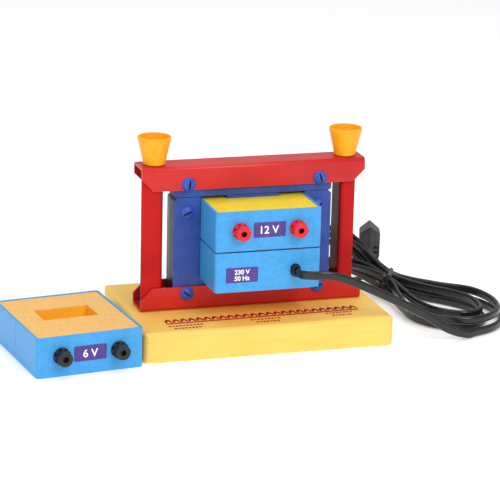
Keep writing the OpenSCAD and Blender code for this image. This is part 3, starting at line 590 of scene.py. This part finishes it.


# %% [markdown]
# ## Laminated core
# A stack of thin sheets makes up each core part. Blue paint covers the front and the back of the
# stack and laps a ragged millimetre over its edges. The sheets' edges were left bare and dark,
# with a little overspray towards the front; the few bright lines on them are painted glints.
# Noise that is stretched along X and Z gives those lines, and the distance from the middle of the
# stack says where the paint is.

# %% Laminations
def laminated(name):
    middle, half = -1, 9  # of the stack, along Y
    f = Finish(name)
    drift = f.noise(20, 4, 0.6)
    streaks = f.noise(1.2, 3, 0.6, (1, 1, 0.1))
    ragged = f.noise(1.3, 4, 0.65, (1, 1, 0.4))
    paint = ((f.axis("Y") - middle).math("ABSOLUTE") + ragged * 1.6).clamp(half, half + 0.4)
    flat = (0.02, 1, 0.02)
    sheets = f.noise(0.42, 2, 0.6, flat) * 0.5 + f.noise(2.6, 1, 0.5, flat) * 0.5
    # The brightest stop gives the few bright lines, painted glints on the sheets' edges.
    stops = [(0.4, rgb(14, 15, 26)), (0.49, rgb(50, 52, 72)), (0.55, rgb(84, 88, 108)),
             (0.62, rgb(176, 178, 186))]
    bare = f.add("ShaderNodeValToRGB", {"stops": stops}, {"Fac": sheets})
    overspray = (middle - f.axis("Y")).clamp(-2, half) * 0.55
    bare = f.mix(overspray, bare, rgb(58, 70, 120))
    blue = f.mix(drift.clamp(0.3, 0.7), rgb(40, 66, 142), rgb(52, 82, 164))
    blue = f.mix(streaks.clamp(0.58, 0.75) * 0.35, blue, rgb(84, 108, 176))
    worn = f.edges(0.5) * f.noise(1.6, 4, 0.75).clamp(0.44, 0.56)
    blue = f.mix(worn * 0.6, blue, rgb(150, 160, 196))
    return f.surface(Base_Color=f.mix(paint, bare, blue), Metallic=0.3 - paint * 0.3,
                     Roughness=0.36 + streaks * 0.16, IOR=1.42,
                     Normal=f.bump(drift * 2 + streaks * 0.5 + sheets * 0.5, 0.6, 0.08))


for name in ("e_core", "top_yoke"):
    finishes[name] = laminated("laminations_" + name)


# %% [markdown]
# ## Screws, nuts and bare metal
# The screws were painted with the core. Their slots are darkened with painted shade, and a
# screwdriver has scraped the slots' edges back to bright steel. The masks for slots and edges are
# the ones of the enamel.

# %% Metals
def metal(name, colour, rough=0.3, size=0.5):
    f = Finish(name)
    fine_marks = f.noise(size, 3, 0.6, (1, 1, 0.3))
    dull = f.noise(4, 3)
    base = f.mix(dull.clamp(0.35, 0.75), colour, tuple(c * 0.72 for c in colour))
    return f.surface(Base_Color=base, Metallic=1.0, Roughness=rough + fine_marks * 0.2,
                     Normal=f.bump(fine_marks, 0.4, 0.02))


def scraped(name, paint):
    f = Finish(name)
    ragged = f.noise(1.1, 3, 0.6)
    bare = f.edges(0.35) * f.noise(1.7, 3, 0.7).clamp(0.5, 0.58)
    slot = f.shade_in_hollows(2).clamp(0.1, 0.35)
    colour = f.mix(ragged.clamp(0.3, 0.7), paint, tuple(c * 1.35 for c in paint))
    colour = f.mix(bare * 0.8, colour, rgb(196, 192, 180))
    # Painted shade: the slots are darkened.
    colour = f.mix(slot, colour, rgb(12, 14, 30))
    return f.surface(Base_Color=colour, Metallic=bare * 0.8, Roughness=0.34 + ragged * 0.12,
                     IOR=1.42, Normal=f.bump(ragged, 0.4, 0.05))


blue_screws = scraped("scraped_blue", rgb(44, 76, 168))
finishes.update({"core_bolts": blue_screws, "yoke_bolts": blue_screws})
blue_nuts = enamel("blue_nuts", rgb(52, 80, 160), rgb(40, 62, 135), rgb(150, 160, 196), 0.35, 0.04)
zinc = metal("zinc", rgb(196, 198, 202), 0.28)
turned_brass = metal("turned_brass", rgb(214, 176, 104), 0.2, 0.25)
aged_brass = metal("aged_brass", rgb(96, 70, 44), 0.42, 0.25)
for name in ("core_nuts", "yoke_nuts"):
    finishes[name] = blue_nuts
for name in ("post_nuts", "base_screws", "stud_left", "stud_right"):
    finishes[name] = zinc
for name in [n for n in nodes if n.startswith("stems_")] + ["plug_pins"]:
    finishes[name] = turned_brass
for name in [n for n in nodes if n.startswith("insert_")]:
    finishes[name] = aged_brass


# %% [markdown]
# ## Moulded plastics
# The cases, knobs, bobbins and terminal heads are injection moulded. The gloss is broken by a very
# fine texture, and larger faces sink in a little as they cool, which bends their reflections.

# %% Plastics
def moulded(name, light, dark, rough=0.32, texture=0.35, sink=0.05, coat=0.0, glow=0.0):
    f = Finish(name)
    sinking = f.noise(24, 1)
    skin = f.noise(texture, 2)
    dust = f.noise(3.5, 4, 0.7)
    colour = f.mix(dust.clamp(0.3, 0.7), dark, light)
    return f.surface(Base_Color=colour, Roughness=rough + dust * 0.1, IOR=1.42, Coat_Weight=coat,
                     Subsurface_Weight=glow, Subsurface_Radius=(0.004, 0.002, 0.001),
                     Normal=f.bump(skin * 0.12 + sinking * 2, 0.5, sink))


case = moulded("case_plastic", rgb(70, 164, 228), rgb(60, 152, 218), 0.34)
orange = moulded("bobbin_plastic", rgb(252, 184, 44), rgb(244, 172, 34), 0.42)
yellow_board = moulded("yellow_board", rgb(240, 218, 58), rgb(230, 204, 46), 0.5, 0.6)
tan_board = moulded("tan_board", rgb(244, 194, 116), rgb(234, 180, 102), 0.55, 0.6)
purple = moulded("purple_plate", rgb(84, 62, 146), rgb(72, 50, 130), 0.3, 0.3)
knob = moulded("knob_plastic", rgb(252, 178, 22), rgb(244, 162, 14), 0.38, 0.5, 0.06, 0, 0.08)
red_head = moulded("red_head", rgb(228, 30, 40), rgb(206, 20, 32), 0.26, 0.3, 0.02, 0.1)
black_head = moulded("black_head", rgb(34, 36, 42), rgb(20, 21, 26), 0.3, 0.3, 0.02, 0.1)
BY_START = {
    case: ("case_", "mains_case"), orange: ("bobbin_", "mains_bobbin"),
    yellow_board: ("top_plate_12v", "mains_top_plate"), tan_board: ("top_plate_6v",),
    purple: ("label_", "mains_label"), knob: ("knob_",),
    red_head: ("head_12v", "collars_12v"), black_head: ("head_6v", "collars_6v"),
}
for finish, starts in BY_START.items():
    for name in [n for n in nodes if n.startswith(starts)]:
        finishes[name] = finish
print(len(finishes), "parts have a finish")


# %% [markdown]
# ## Copper, board strip and rubber
# The windings are layers of enamelled wire, closed in by the cases. The lead and the plug are black
# PVC with a soft sheen, which dust turns slightly grey.

# %% Windings and strip
WIRE_PITCH = 0.6


def wound(name):
    f = Finish(name)
    wires = (f.axis("Z") * (2 * math.pi / WIRE_PITCH)).math("SINE") * 0.5 + 0.5
    colour = f.mix(wires, rgb(92, 38, 18), rgb(196, 102, 52))
    return f.surface(Base_Color=colour, Metallic=0.8, Roughness=0.3,
                     Normal=f.bump(wires, 0.8, 0.12))


copper = wound("copper_wire")
for name in [n for n in nodes if "winding" in n]:
    finishes[name] = copper
finishes["yoke_pad"] = moulded("pressed_board", rgb(112, 66, 40), rgb(92, 52, 32), 0.7, 0.8)


# %% Rubber
def sheath(name, light, dark, rough, dull=0.14):
    f = Finish(name)
    dust = f.noise(9, 4, 0.65)
    skin = f.noise(0.5, 2)
    colour = f.mix(dust.clamp(0.35, 0.75), dark, light)
    return f.surface(Base_Color=colour, Roughness=rough + dust * dull, IOR=1.5,
                     Normal=f.bump(skin, 0.35, 0.03))


black_flex = sheath("black_flex", rgb(34, 33, 33), rgb(14, 14, 15), 0.2, 0.1)
black_plug = sheath("black_plug", rgb(62, 63, 68), rgb(42, 43, 48), 0.4)
for piece in (flex, tie):
    piece.data.materials.append(black_flex)
finishes.update({"cord_bush": black_flex, "plug_body": black_plug})


# %% [markdown]
# ## Ink
# White figures and red print are thin screen ink: flat in colour, with a slightly uneven edge and
# small gaps where the ink missed.

# %% Ink
def ink(name, colour, faded):
    f = Finish(name)
    gaps = f.noise(0.9, 3, 0.6).clamp(0.6, 0.75)
    return f.surface(Base_Color=f.mix(gaps * 0.6, colour, faded), Roughness=0.45 + gaps * 0.2,
                     Normal=f.bump(gaps, 0.2, 0.01))


white_ink = ink("white_ink", rgb(250, 248, 252), rgb(190, 180, 215))
red_ink = ink("red_ink", rgb(168, 14, 20), rgb(205, 96, 52))
for piece in white_figures:
    piece.data.materials.append(white_ink)
red_print.data.materials.append(red_ink)

# %% Give each CAD part its finish
for name, part in nodes.items():
    if name in finishes:
        part.data.materials.clear()
        part.data.materials.append(finishes[name])
print("without a finish:", [n for n in nodes if n not in finishes])

# %% [markdown]
# ## Studio
# A white sweep of floor, a bright sky all round and three large soft lamps give the even light of a
# catalogue picture, with only faint shadows.

# %% Floor and light
SKY, AIM = 0.56, (0, 0, 0.05)
bm = bmesh.new()
bmesh.ops.create_grid(bm, x_segments=1, y_segments=1, size=6)
floor_mesh = bpy.data.meshes.new("floor")
bm.to_mesh(floor_mesh)
bm.free()
floor = bpy.data.objects.new("floor", floor_mesh)
bpy.context.scene.collection.objects.link(floor)
floor_finish = Finish("floor")
floor_mesh.materials.append(floor_finish.surface(
    Base_Color=(0.93, 0.93, 0.93), Roughness=0.6, Emission_Color=(1, 1, 1), Emission_Strength=0.25))

world = bpy.data.worlds.new("studio")
world.use_nodes = True
world.node_tree.nodes["Background"].inputs["Color"].default_value = (1, 1, 1, 1)
world.node_tree.nodes["Background"].inputs["Strength"].default_value = SKY
bpy.context.scene.world = world


def lamp(name, place, target, size, power):
    light = bpy.data.lights.new(name, "AREA")
    light.shape = "DISK"
    light.size = size
    light.energy = power
    holder = bpy.data.objects.new(name, light)
    way = Vector(target) - Vector(place)
    turned = way.to_track_quat("-Z", "Y").to_matrix().to_4x4()
    holder.matrix_world = Matrix.Translation(place) @ turned
    bpy.context.scene.collection.objects.link(holder)


lamp("key", (0.3, -1.6, 1.3), AIM, 1.0, 18)
lamp("fill", (-1.4, -0.9, 0.9), AIM, 1.5, 6)
lamp("top", (0, 0.3, 1.8), AIM, 1.4, 9)
bpy.context.scene.view_settings.view_transform = "Standard"
print("lamps set")
